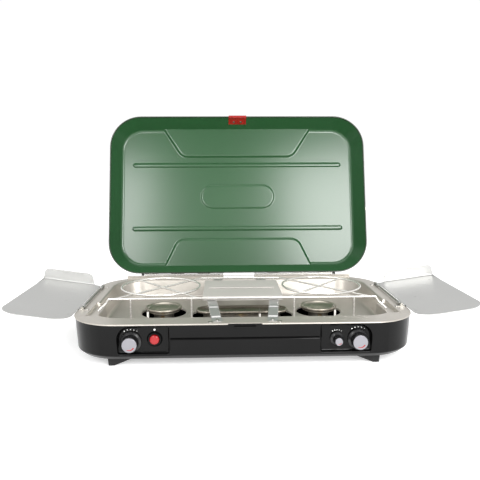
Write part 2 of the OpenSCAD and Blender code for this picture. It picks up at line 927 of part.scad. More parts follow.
module gas_jets() color(brass) for (spot = jet_spots) {
    back = spot[1] - nose_l - jet_l;
    translate([spot[0], back, jet_z]) rotate([-90, 0, 0]) cylinder(h = jet_l, r = jet_r, $fn = 6);
    along_y(spot[0], back + jet_l, jet_z, nose_l, 3.5);
}

valve_xs = [-knob_x, small_x, knob_x];

module gas_tubes() color(steel) for (i = [0 : 2]) {
    jet_back = jet_spots[i][1] - nose_l - jet_l;
    pipe([
        [valve_xs[i], valve_front + valve_l, jet_z],
        [valve_xs[i], valve_front + valve_l + 10, jet_z],
        [jet_spots[i][0], jet_back - 30, jet_z],
        [jet_spots[i][0], jet_back, jet_z]
    ], gas_tube_r, 0.7);
}

module gas_manifold() color(steel) pipe([
    [-knob_x - 8, manifold_y, manifold_z],
    [250, manifold_y, manifold_z],
    [316, -118, manifold_z],
    [316, inlet_y, manifold_z],
    [inlet_face - inlet_l, inlet_y, manifold_z]
], manifold_r);

module fuel_inlet() color(brass) difference() {
    translate([inlet_face - inlet_l, inlet_y, manifold_z]) rotate([0, 90, 0]) union() {
        cylinder(h = inlet_l, r = inlet_r - 1.5);
        translate([0, 0, 6]) cylinder(h = 8, r = inlet_r, $fn = 6);
    }
    translate([inlet_face - inlet_bore_l, inlet_y, manifold_z]) rotate([0, 90, 0])
        cylinder(h = inlet_bore_l + 5, r = inlet_bore_r);
}

// Brass tap: barrel behind the panel, a leg down to the manifold and an outlet at the back
module valve(x, z) color(brass) difference() {
    outlet_y = manifold_y + manifold_r + 0.3;
    union() {
        along_y(x, valve_front, z, valve_l, valve_r);
        along_y(x, outlet_y, jet_z, valve_front + valve_l - outlet_y, 4.5);
        translate([x, manifold_y, manifold_z + manifold_r]) cylinder(h = z - manifold_z - manifold_r, r = 5);
    }
    along_y(x, valve_front - 1, z, 16, stem_r + stem_fit);
}

module valve_left() valve(-knob_x, knob_z);
module valve_small() valve(small_x, small_z);
module valve_right() valve(knob_x, knob_z);

// ---- Ignition ----

piezo_front = pocket_back + 9;

module piezo_igniter() color("#d8d2c0") along_y(button_x, piezo_front, button_z, piezo_l, 9);

module spark_insulators() color("white") for (spot = spark_spots)
    translate([spot[0], spot[1], bowl_base + 4]) cylinder(h = 26, r = spark_r);

module spark_electrodes() color(chrome) for (i = [0 : 2]) {
    spot = spark_spots[i];
    top = bowl_base + 30;
    aim = [[4, 4], [0, 3], [-4, 4]][i];
    translate([spot[0], spot[1], top]) cylinder(h = 9, r = 1);
    bar([spot[0], spot[1], top + 8], [spot[0] + aim[0], spot[1] + aim[1], top + 12], 0.7);
}

module ignition_leads() color("#26211e") for (i = [0 : 2]) {
    spot = spark_spots[i];
    x = button_x + [-5, 5, 0][i];
    y = piezo_front + piezo_l;
    z = 31 - 3.4 * i;
    pipe([
        [x, y, 56],
        [x, y + 2.5, 56],
        [x, y + 2.5, z],
        [spot[0], spot[1] - 25, z],
        [spot[0], spot[1], z],
        [spot[0], spot[1], bowl_base + 4]
    ], lead_r);
}

// ---- Controls ----

module knob_body(x, z, skirt_r) color(black)
    translate([x, knob_back, z]) rotate([90, 0, 0]) rotate_extrude() polygon([
        [stem_r, 0],
        [skirt_r, 0],
        [skirt_r, 3.5],
        [skirt_r - grip_in + 1, 6],
        [skirt_r - grip_in, 7],
        [skirt_r - grip_in - 0.8, knob_h],
        [0, knob_h],
        [0, knob_bore],
        [stem_r, knob_bore]
    ]);

module knob_face(x, z, skirt_r) color(chrome)
    along_y(x, knob_back - knob_h - 1.2, z, 1.2, skirt_r - grip_in - 1.6);

module knob_stem(x, z) color(steel)
    along_y(x, knob_back - knob_bore, z, knob_bore + 15, stem_r);

module knob_left() knob_body(-knob_x, knob_z, knob_r);
module knob_left_face() knob_face(-knob_x, knob_z, knob_r);
module knob_left_stem() knob_stem(-knob_x, knob_z);
module knob_small() knob_body(small_x, small_z, small_r);
module knob_small_face() knob_face(small_x, small_z, small_r);
module knob_small_stem() knob_stem(small_x, small_z);
module knob_right() knob_body(knob_x, knob_z, knob_r);
module knob_right_face() knob_face(knob_x, knob_z, knob_r);
module knob_right_stem() knob_stem(knob_x, knob_z);

module igniter_button() color(red) {
    front = piezo_front - 4.5 - button_l;
    translate([button_x, front + button_l, button_z]) rotate([90, 0, 0]) rotate_extrude() polygon([
        [0, 0],
        [button_r, 0],
        [button_r, button_l - 2.5],
        [button_r - 0.8, button_l - 0.8],
        [button_r - 2.5, button_l],
        [0, button_l]
    ]);
}

// ---- Grate ----

module grate_half() {
    ring = [ring_x, ring_y];
    outer = [rail_half, rail_y];
    inner = [2 * ring_x - rail_half + 8, rail_y];
    translate([ring_x, ring_y, grate_z + ring_lift])
        rotate_extrude() translate([ring_r, 0]) circle(ring_wire_r);
    // Spoke from the rail's outer end, through the ring, to the rear rail's end
    low = grate_z - spoke_drop;
    run = (rear_rail_y - outer[1]) / (ring[1] - outer[1]);
    far = outer + run * (ring - outer);
    bar([outer[0], outer[1], low], [far[0], far[1], low], spoke_r);
    // Spoke from the rail's inner part to the far side of the ring
    aim = (ring - inner) / norm(ring - inner);
    stop = ring + ring_r * aim;
    bar([inner[0], inner[1], grate_z], [stop[0], stop[1], grate_z], spoke_r);
    for (x = leg_xs) bar([x, rail_y, floor_z + 0.3], [x, rail_y, grate_z], spoke_r);
    bar([rear_leg_x, rear_rail_y, floor_z + 0.3], [rear_leg_x, rear_rail_y, low], spoke_r);
    pipe([
        [0, rail_y, grate_z],
        [rail_half, rail_y, grate_z],
        [rail_half + 5, rail_y - 1, grate_z - 9],
        [rail_half + 22, rail_y - 5, ledge_z + rail_r + 0.3]
    ], rail_r);
    bar([0, rear_rail_y, low], [far[0] + 1, rear_rail_y, low], rail_r);
}

module wire_grate() color(chrome) both_sides() grate_half();

base_case();
front_fascia();
control_panel_left();
control_panel_right();
feet();
latch_catch();
deck_pan();
deck_screws();
centre_bridge();
rear_shield();
case_hinge_leaves();
lid_hinge_pins();
guard_brackets_left();
guard_brackets_right();
guard_rod_left();
guard_rod_right();
burner_left_bowl();
burner_left_cap();
burner_right_bowl();
burner_right_cap();
burner_centre_bowl();
burner_centre_cap();
gas_jets();
gas_tubes();
gas_manifold();
fuel_inlet();
valve_left();
valve_small();
valve_right();
piezo_igniter();
spark_insulators();
spark_electrodes();
ignition_leads();
lid_shell();
lid_hinge_leaves();
lid_side_clips();
latch_bracket();
latch_rivets();
latch_pin();
latch_lever();
wind_guard_left();
wind_guard_right();
knob_left();
knob_left_face();
knob_left_stem();
knob_small();
knob_small_face();
knob_small_stem();
knob_right();
knob_right_face();
knob_right_stem();
igniter_button();
wire_grate();
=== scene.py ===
# Looks of the camp stove: a camera and soft light, procedural finishes on every
# piece, and smooth pressed-sheet meshes in place of the plain CAD sheets.
import json
import math

import bpy
import numpy as np
from mathutils import Matrix, Vector
from mathutils.geometry import delaunay_2d_cdt


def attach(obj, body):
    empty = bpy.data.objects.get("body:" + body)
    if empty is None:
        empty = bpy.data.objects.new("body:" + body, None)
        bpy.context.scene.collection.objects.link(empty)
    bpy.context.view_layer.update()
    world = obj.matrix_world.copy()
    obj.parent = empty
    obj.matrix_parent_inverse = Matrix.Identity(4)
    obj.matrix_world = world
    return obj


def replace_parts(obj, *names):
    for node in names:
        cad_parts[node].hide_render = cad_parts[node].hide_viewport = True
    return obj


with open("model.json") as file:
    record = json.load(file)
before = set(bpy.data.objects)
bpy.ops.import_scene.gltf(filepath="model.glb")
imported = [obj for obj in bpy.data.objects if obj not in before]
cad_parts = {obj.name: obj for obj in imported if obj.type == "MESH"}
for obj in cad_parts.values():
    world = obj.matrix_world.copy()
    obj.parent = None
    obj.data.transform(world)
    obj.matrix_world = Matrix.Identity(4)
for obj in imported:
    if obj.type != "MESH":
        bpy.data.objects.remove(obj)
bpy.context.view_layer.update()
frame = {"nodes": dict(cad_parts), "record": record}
nodes = frame["nodes"]
scene = bpy.context.scene
MM = 0.001

# Sizes and places shared by several pieces, in millimetres in the part's frame:
# X to the user's right, Y away from the user, Z up from the table
CASE_W, CASE_D, CASE_R = 711.0, 437.0, 99.5
DECK_Z = 95.0
BURNER_X, BURNER_Y, CAP_Z = 184.0, 20.0, 60.0
BAR_Y = -6.0
INLET_Y, INLET_Z = -60.0, 38.0
KNOB_X, KNOB_Z = 226.0, 56.5
SMALL_KNOB_X, SMALL_KNOB_Z = 183.5, 58.5
BUTTON_X, BUTTON_Z = 179.0, 62.0
SIDES = (1, -1)


# ---------------------------------------------------------------- camera

def make_camera():
    """Camera at the photograph's viewing angle, from a fit to the object's outline."""
    place = Vector((-0.04189, -1.29564, 0.41621))
    yaw, pitch, roll = -0.0298, math.radians(6.46), math.radians(-0.19)
    ahead = Vector((-math.sin(yaw) * math.cos(pitch), math.cos(yaw) * math.cos(pitch), -math.sin(pitch)))
    level = Vector((math.cos(yaw), math.sin(yaw), 0))
    upright = level.cross(ahead)
    across = level * math.cos(roll) + upright * math.sin(roll)
    up = -level * math.sin(roll) + upright * math.cos(roll)
    turned = Matrix((across, up, -ahead)).transposed().to_4x4()
    turned.translation = place
    data = bpy.data.cameras.new("studio_camera")
    data.lens = 42.36
    data.sensor_width = 36
    data.shift_y = -0.0367
    data.clip_end = 50
    cam = bpy.data.objects.new("studio_camera", data)
    cam.matrix_world = turned
    scene.collection.objects.link(cam)
    scene.camera = cam


# ---------------------------------------------------------------- light and floor

def area_light(name, loc, aim, size, power):
    """White card of light at loc, facing aim; places and sizes in metres, power in watts."""
    data = bpy.data.lights.new(name, "AREA")
    data.shape = "RECTANGLE"
    data.size, data.size_y = size
    data.energy = power
    o = bpy.data.objects.new(name, data)
    o.location = loc
    o.rotation_euler = (Vector(aim) - Vector(loc)).to_track_quat("-Z", "Y").to_euler()
    scene.collection.objects.link(o)


def make_light():
    """White air, shaded by direction so that enamel and steel have something to mirror, and four cards."""
    world = bpy.data.worlds.new("studio_air")
    scene.world = world
    world.use_nodes = True
    nt = world.node_tree
    bg = nt.nodes["Background"]
    coord = nt.nodes.new("ShaderNodeTexCoord")
    split = nt.nodes.new("ShaderNodeSeparateXYZ")
    nt.links.new(coord.outputs["Generated"], split.inputs[0])

    def span(axis, lo, hi, at_lo, at_hi):
        """Smooth change from at_lo to at_hi as the direction's axis goes from lo to hi."""
        node = nt.nodes.new("ShaderNodeMapRange")
        node.interpolation_type = "SMOOTHSTEP"
        for socket, value in (("From Min", lo), ("From Max", hi), ("To Min", at_lo), ("To Max", at_hi)):
            node.inputs[socket].default_value = value
        nt.links.new(split.outputs[axis], node.inputs["Value"])
        return node.outputs["Result"]

    def math_node(kind, a, b):
        node = nt.nodes.new("ShaderNodeMath")
        node.operation = kind
        for socket, value in zip(node.inputs, (a, b)):
            if isinstance(value, float):
                socket.default_value = value
            else:
                nt.links.new(value, socket)
        return node.outputs[0]

    # Darker above the horizon in front of the stove, and a little darker overhead
    shade = math_node("MULTIPLY", span("Y", -0.95, -0.1, 0.68, 0.0), span("Z", 0.1, 0.24, 0.0, 1.0))
    air = math_node("MULTIPLY", math_node("SUBTRACT", 1.0, shade), span("Z", 0.3, 1.0, 1.0, 0.55))
    nt.links.new(air, bg.inputs["Color"])
    bg.inputs["Strength"].default_value = 1.02
    area_light("card_right", (0.86, -1.8, 1.0), (0.1, 0.3, 0.3), (0.95, 0.95), 45)
    area_light("card_left", (-0.82, -1.8, 1.0), (-0.1, 0.3, 0.3), (0.55, 0.85), 21)
    area_light("key", (-1.6, -0.6, 1.9), (0, 0, 0.1), (1.2, 1.2), 12)
    area_light("top", (0, 0.1, 2.4), (0, 0, 0), (1.8, 1.2), 18)


# ---------------------------------------------------------------- finishes

def srgb(r, g, b):
    """Linear colour from eight-bit values."""
    def lin(v):
        v /= 255
        return v / 12.92 if v <= 0.04045 else ((v + 0.055) / 1.055) ** 2.4
    return lin(r), lin(g), lin(b)


def finish(name, color, rough, metal=0.0, coat=0.0, coat_rough=0.05, spec=0.5, vary=0.05, patch_scale=14,
           rough_vary=0.06, grain=(1, 1, 1), grain_scale=900, bump=0.05, bump_depth=0.0001):
    """Principled material with colour drift, uneven gloss and a fine grain, all in object space."""
    m = bpy.data.materials.new(name)
    m.use_nodes = True
    nt = m.node_tree
    p = nt.nodes["Principled BSDF"]
    p.inputs["Metallic"].default_value = metal
    p.inputs["Coat Weight"].default_value = coat
    p.inputs["Coat Roughness"].default_value = coat_rough
    p.inputs["Specular IOR Level"].default_value = spec
    coord = nt.nodes.new("ShaderNodeTexCoord")
    patch = nt.nodes.new("ShaderNodeTexNoise")
    patch.inputs["Scale"].default_value = patch_scale
    patch.inputs["Detail"].default_value = 4
    nt.links.new(coord.outputs["Object"], patch.inputs["Vector"])
    ramp = nt.nodes.new("ShaderNodeValToRGB")
    ramp.color_ramp.elements[0].position = 0.3
    ramp.color_ramp.elements[1].position = 0.7
    ramp.color_ramp.elements[0].color = (*[c * (1 - vary) for c in color], 1)
    ramp.color_ramp.elements[1].color = (*[min(1, c * (1 + vary)) for c in color], 1)
    nt.links.new(patch.outputs["Fac"], ramp.inputs["Fac"])
    nt.links.new(ramp.outputs["Color"], p.inputs["Base Color"])
    mapping = nt.nodes.new("ShaderNodeMapping")
    mapping.inputs["Scale"].default_value = grain
    nt.links.new(coord.outputs["Object"], mapping.inputs["Vector"])
    fine = nt.nodes.new("ShaderNodeTexNoise")
    fine.inputs["Scale"].default_value = grain_scale
    fine.inputs["Detail"].default_value = 3
    nt.links.new(mapping.outputs["Vector"], fine.inputs["Vector"])
    gloss = nt.nodes.new("ShaderNodeMapRange")
    gloss.inputs["From Min"].default_value = 0.3
    gloss.inputs["From Max"].default_value = 0.7
    gloss.inputs["To Min"].default_value = max(0.02, rough - rough_vary)
    gloss.inputs["To Max"].default_value = rough + rough_vary
    nt.links.new(fine.outputs["Fac"], gloss.inputs["Value"])
    nt.links.new(gloss.outputs["Result"], p.inputs["Roughness"])
    relief = nt.nodes.new("ShaderNodeBump")
    relief.inputs["Strength"].default_value = bump
    relief.inputs["Distance"].default_value = bump_depth
    nt.links.new(fine.outputs["Fac"], relief.inputs["Height"])
    nt.links.new(relief.outputs["Normal"], p.inputs["Normal"])
    return m


FIN = {
    "case_black": finish("gloss_black_enamel", srgb(10, 10, 10), 0.16, coat=0.05, spec=0.12,
                         vary=0.15, rough_vary=0.03, bump=0.04),
    "deck_steel": finish("stainless_sheet", srgb(172, 167, 159), 0.38, metal=0.58,
                         patch_scale=6, rough_vary=0.05, grain=(1, 14, 1), grain_scale=260),
    "hardware": finish("plated_steel", srgb(168, 166, 161), 0.3, metal=0.95,
                       vary=0.06, rough_vary=0.08, grain_scale=500),
    "guard_steel": finish("satin_steel", srgb(172, 172, 170), 0.36, metal=0.7,
                          vary=0.03, patch_scale=7, rough_vary=0.05, grain=(12, 1, 1), grain_scale=240,
                          bump=0.04),
    "wire_chrome": finish("chromed_wire", srgb(226, 224, 219), 0.26, metal=0.7,
                          vary=0.06, grain_scale=700, bump=0.04),
    "burner_steel": finish("burner_pressing", srgb(176, 170, 158), 0.34, metal=0.95,
                           vary=0.12, rough_vary=0.1, grain_scale=420, bump=0.08, bump_depth=0.0002),
    "brass": finish("turned_brass", srgb(190, 150, 74), 0.28, metal=1.0,
                    vary=0.1, rough_vary=0.08, grain_scale=500, bump=0.06),
    "lid_green": finish("green_enamel", srgb(33, 73, 40), 0.3, coat=0.5, coat_rough=0.2, spec=0.36,
                        vary=0.04, patch_scale=5, rough_vary=0.04, grain_scale=1400, bump=0.08),
    "latch_red": finish("red_enamel", srgb(140, 18, 14), 0.28, coat=0.5, vary=0.08),
    "button_red": finish("red_moulding", srgb(142, 12, 18), 0.26, bump=0.06),
    "knob_black": finish("black_moulding", srgb(22, 22, 23), 0.28,
                         vary=0.12, rough_vary=0.07, grain_scale=1100, bump=0.1),
    "knob_face": finish("bright_disc", srgb(136, 135, 140), 0.36, metal=0.8, vary=0.04, grain_scale=600),
    "foot_black": finish("matt_black_moulding", srgb(24, 24, 24), 0.6, spec=0.3,
                         vary=0.12, rough_vary=0.08, bump=0.2, bump_depth=0.0002),
    "piezo_case": finish("cream_moulding", srgb(214, 208, 190), 0.45, rough_vary=0.08, bump=0.1),
    "ceramic": finish("glazed_ceramic", srgb(236, 234, 228), 0.2, coat=0.4,
                      vary=0.03, rough_vary=0.05, grain_scale=700, bump=0.06),
    "lead_cover": finish("black_sleeve", srgb(28, 27, 27), 0.55,
                         vary=0.1, rough_vary=0.08, grain_scale=800, bump=0.15, bump_depth=0.0002),
}
# The hem is the lid's own green enamel, painted darker and greyer: painted shade on the rolled edge.
HEM_SHADED_GREEN = finish("green_enamel_hem_painted_shade", srgb(30, 43, 27), 0.3, coat=0.5, coat_rough=0.2, spec=0.3,
                   vary=0.06, patch_scale=5, rough_vary=0.04, grain_scale=1400, bump=0.08)
BRIDGE_STEEL = finish("bright_sheet", srgb(190, 186, 181), 0.44, metal=0.3,
                      patch_scale=6, rough_vary=0.05, grain=(14, 1, 1), grain_scale=260)
WHITE_PRINT = finish("white_print", srgb(226, 226, 222), 0.5, vary=0.03)


def dress_cad_nodes():
    """Each CAD node in its slot's finish."""
    for row in frame["record"]["subparts"]:
        data = nodes[row["node"]].data
        data.materials.clear()
        data.materials.append(FIN[row["material_slot"]])


# ---------------------------------------------------------------- sheet meshes

def rect_distance(x, y, w, d, r):
    """Distance inside a rounded rectangle centred on the origin (negative outside)."""
    qx, qy = np.abs(x) - (w / 2 - r), np.abs(y) - (d / 2 - r)
    outside = np.hypot(np.maximum(qx, 0), np.maximum(qy, 0))
    return r - outside - np.minimum(np.maximum(qx, qy), 0)


def rect_loop(w, d, r, cy=0.0, corner=16, straight=8):
    """Points round a rounded rectangle, anticlockwise."""
    pts = []
    cx, cyy = w / 2 - r, d / 2 - r
    centres = [(cx, cyy), (-cx, cyy), (-cx, -cyy), (cx, -cyy)]
    for k in range(4):
        for i in range(corner + 1):
            a = math.pi / 2 * (k + i / corner)
            pts.append((centres[k][0] + r * math.cos(a), centres[k][1] + r * math.sin(a)))
        nx, ny = centres[(k + 1) % 4]
        a = math.pi / 2 * (k + 1)
        end = (nx + r * math.cos(a), ny + r * math.sin(a))
        start = pts[-1]
        for i in range(1, straight):
            t = i / straight
            pts.append((start[0] + (end[0] - start[0]) * t, start[1] + (end[1] - start[1]) * t))
    return [(x, y + cy) for x, y in pts]


def stadium_loop(half, r, cy=0.0, corner=14, straight=10):
    """Points round a stadium along X, half long to each side, with corner steps to each round end."""
    hair = 1e-4
    return rect_loop(2 * half, 2 * r, r - hair, cy, corner // 2, straight)


def circle_loop(cx, cy, r, n=64):
    """Points round a circle, anticlockwise."""
    angles = [2 * math.pi * i / n for i in range(n)]
    return [(cx + r * math.cos(a), cy + r * math.sin(a)) for a in angles]


def arc_points(cx, cy, r, a0, a1, n):
    """Points along an arc between two angles in degrees."""
    angles = [math.radians(a0 + (a1 - a0) * i / n) for i in range(n + 1)]
    return [(cx + r * math.cos(a), cy + r * math.sin(a)) for a in angles]


def case_loop(inset, corner=16):
    """Points round the case's outline, moved in from its edge."""
    return rect_loop(CASE_W - 2 * inset, CASE_D - 2 * inset, CASE_R - inset, 0, corner)


def case_distance(x, y, inset=0):
    """Distance inside the case's outline moved in from its edge (negative outside)."""
    return rect_distance(x, y, CASE_W - 2 * inset, CASE_D - 2 * inset, CASE_R - inset)


def stadium_distance(x, y, half, r, cy=0.0):
    """Distance inside a stadium lying along X (negative outside)."""
    return r - np.hypot(np.maximum(np.abs(x) - (half - r), 0), y - cy)


def polygon_distance(x, y, pts):
    """Distance inside a polygon (negative outside)."""
    best = np.full(x.shape, 1e9)
    inside = np.zeros(x.shape, bool)
    n = len(pts)
    for i in range(n):
        ax, ay = pts[i]
        bx, by = pts[(i + 1) % n]
        ex, ey = bx - ax, by - ay
        t = np.clip(((x - ax) * ex + (y - ay) * ey) / max(ex * ex + ey * ey, 1e-12), 0, 1)
        best = np.minimum(best, np.hypot(x - ax - t * ex, y - ay - t * ey))
        cross = (ay > y) != (by > y)
        if ey != 0:
            inside ^= cross & (x < (bx - ax) * (y - ay) / ey + ax)
    return np.where(inside, best, -best)


def smooth(t):
    """Eased step from 0 to 1."""
    t = np.clip(t, 0, 1)
    return t * t * (3 - 2 * t)


def soft_min(a, b, k):
    """The lower of a and b, blended over a difference of k."""
    h = np.clip(0.5 + 0.5 * (b - a) / k, 0, 1)
    return b * (1 - h) + a * h - k * h * (1 - h)


def filleted(points, radii):
    """Points of a path with each inner corner rounded."""
    out = [points[0]]
    for i in range(1, len(points) - 1):
        p, a, b = (np.array(points[j], float) for j in (i, i - 1, i + 1))
        u, v = (a - p) / np.linalg.norm(a - p), (b - p) / np.linalg.norm(b - p)
        half = math.acos(max(-1, min(1, float(u @ v)))) / 2
        if radii[i - 1] <= 0 or abs(half - math.pi / 2) < 1e-3:
            out.append(tuple(p))
            continue
        cut = radii[i - 1] / math.tan(half)
        centre = p + (u + v) / np.linalg.norm(u + v) * radii[i - 1] / math.sin(half)
        s, e = p + u * cut - centre, p + v * cut - centre
        a0, a1 = math.atan2(s[1], s[0]), math.atan2(e[1], e[0])
        turn = (a1 - a0 + math.pi) % (2 * math.pi) - math.pi
        steps = max(3, int(abs(turn) / 0.22) + 1)
        for k in range(steps + 1):
            t = a0 + turn * k / steps
            out.append((centre[0] + radii[i - 1] * math.cos(t), centre[1] + radii[i - 1] * math.sin(t)))
    out.append(points[-1])
    return out


def mesh_object(name, verts, faces, body, slot, angle=30, look=None):
    """Smooth piece from points in millimetres, riding on a body; look overrides the slot's finish."""
    me = bpy.data.meshes.new(name)
    points = [tuple(float(c) * MM for c in v) for v in verts]
    me.from_pydata(points, [], [tuple(int(i) for i in f) for f in faces])
    me.validate()
    me.update()
    me.polygons.foreach_set("use_smooth", [True] * len(me.polygons))
    me.set_sharp_from_angle(angle=math.radians(angle))
    me.materials.append(look or FIN[slot])
    o = bpy.data.objects.new(name, me)
    o.modifiers.new("even_shading", "WEIGHTED_NORMAL").keep_sharp = True
    scene.collection.objects.link(o)
    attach(o, body)
    return o


def join(*parts):
    """One list of points and faces from several."""
    verts, faces = [], []
    for v, f in parts:
        base = len(verts)
        verts += [tuple(p) for p in v]
        faces += [tuple(base + i for i in face) for face in f]
    return verts, faces


def mirrored(part):
    """The part on the other side of the stove."""
    verts, faces = part
    return [(-x, y, z) for x, y, z in verts], [tuple(reversed(f)) for f in faces]


def flat_mesh(loops, keep, lines=()):
    """Triangles over a plane. Loops and lines become mesh edges; keep drops what is outside."""
    verts, edges = [], []
    for loop in loops:
        base = len(verts)
        verts += loop
        edges += [(base + i, base + (i + 1) % len(loop)) for i in range(len(loop))]
    for line in lines:
        base = len(verts)
        verts += line
        edges += [(base + i, base + i + 1) for i in range(len(line) - 1)]
    out, _, faces, _, _, _ = delaunay_2d_cdt([Vector(v) for v in verts], edges, [], 0, 1e-4)
    xy = np.array([(v.x, v.y) for v in out])
    tri = np.array([list(f) for f in faces])
    mid = xy[tri].mean(axis=1)
    tri = tri[keep(mid[:, 0], mid[:, 1])]
    used = np.unique(tri)
    renum = np.full(len(xy), -1)
    renum[used] = np.arange(len(used))
    return xy[used], renum[tri]


def height_sheet(loops, keep, height, lines=()):
    """Triangles over a plane, lifted to height(x, y)."""
    xy, tri = flat_mesh(loops, keep, lines)
    return np.column_stack((xy, height(xy[:, 0], xy[:, 1]))), tri


def weld(verts, tri):
    """Merges points that round to the same micrometre."""
    _, first, back = np.unique(np.round(verts, 3) + 0.0, axis=0, return_index=True, return_inverse=True)
    return verts[first], back.reshape(-1)[tri]


def thicken(verts, tri, t):
    """Closed sheet: a second skin offset by t along the vertex normals (below for t < 0), with edge walls."""
    a, b, c = verts[tri[:, 0]], verts[tri[:, 1]], verts[tri[:, 2]]
    face_normal = np.cross(b - a, c - a)
    normal = np.zeros_like(verts)
    for k in range(3):
        np.add.at(normal, tri[:, k], face_normal)
    normal /= np.maximum(np.linalg.norm(normal, axis=1, keepdims=True), 1e-12)
    other = verts + normal * t
    n = len(verts)
    faces = [tuple(f) for f in tri] + [tuple(n + v for v in reversed(f)) for f in tri.tolist()]
    edges = dict.fromkeys((f[i], f[(i + 1) % 3]) for f in tri.tolist() for i in range(3))
    for p, q in edges:
        if (q, p) not in edges:
            faces.append((q, p, n + p, n + q))
    return np.vstack((verts, other)), faces


def lathe(profile, n, place, ripple=None, closed=False):
    """Solid of revolution. The profile is (radius, height); closed joins its last ring to its first."""
    verts, rings = [], []
    for r, h in profile:
        if r == 0:
            rings.append([len(verts)] * n)
            verts.append(place(0, 0, h))
            continue
        rings.append(list(range(len(verts), len(verts) + n)))
        for i in range(n):
            a = 2 * math.pi * i / n
            q = r + (ripple(a, h) if ripple else 0)
            verts.append(place(q * math.cos(a), q * math.sin(a), h))
    if closed:
        rings.append(rings[0])
    faces = []
    for lo, hi in zip(rings, rings[1:]):
        for i in range(n):
            j = (i + 1) % n
            face = tuple(dict.fromkeys((lo[i], lo[j], hi[j], hi[i])))
            if len(face) > 2:
                faces.append(face)
    return verts, faces


def sweep_loops(loops):
    """Closed tube from rings of equal length, joined ring to ring and the last to the first."""
    n = len(loops[0])
    verts = [p for loop in loops for p in loop]
    faces = []
    for k in range(len(loops)):
        a, b = k * n, ((k + 1) % len(loops)) * n
        faces += [(a + i, a + (i + 1) % n, b + (i + 1) % n, b + i) for i in range(n)]
    return verts, faces


# ---------------------------------------------------------------- lid

LID_W, LID_D, LID_R, LID_TOP = 713.0, 441.0, 86.0, 60.0
LID_RIM_Z, LID_SHEET = 98.6, 1.2
HINGE_Y, HINGE_Z, OPEN_ANGLE = 225.5, 100.0, math.radians(-103)
STEP_WIDE, STEP_DEEP = 7.2, 6.0
GROOVE_HALF, GROOVE_R, GROOVE_Y, GROOVE_DEEP = 300, 5.5, 92, 3.8
PLAQUE_HALF, PLAQUE_R, PLAQUE_DEEP = 104, 33, 2.4


def lid_loop(inset):
    """Points round the lid, moved in from its edge."""
    return rect_loop(LID_W - 2 * inset, LID_D - 2 * inset, LID_R - inset)


def lid_rest(v):
    """Closed lid to open lid."""
    c, s = math.cos(OPEN_ANGLE), math.sin(OPEN_ANGLE)
    y, z = v[:, 1] - HINGE_Y, v[:, 2] - HINGE_Z
    return np.column_stack((v[:, 0], HINGE_Y + y * c - z * s, HINGE_Z + y * s + z * c))


def trapezoid_points(side, grow=0.0):
    """Edge of a pressed step, with rounded inner corners, open towards the lid's edge."""
    narrow, wide, inner = (171, 221, 122) if side > 0 else (160, 231, 116)
    outer, corner_r = 226, 32 + grow
    narrow, wide, inner = narrow + grow, wide + grow, inner - grow
    path = [(wide, outer), (narrow, inner), (-narrow, inner), (-wide, outer)]
    return [(x, side * y) for x, y in filleted(path, [corner_r, corner_r])]


def spaced(pts, gap):
    """Points along a path at gaps of about the same length, without its last point."""
    line = []
    for (ax, ay), (bx, by) in zip(pts, pts[1:]):
        steps = max(1, int(math.hypot(bx - ax, by - ay) / gap))
        line += [(ax + (bx - ax) * k / steps, ay + (by - ay) * k / steps) for k in range(steps)]
    return line


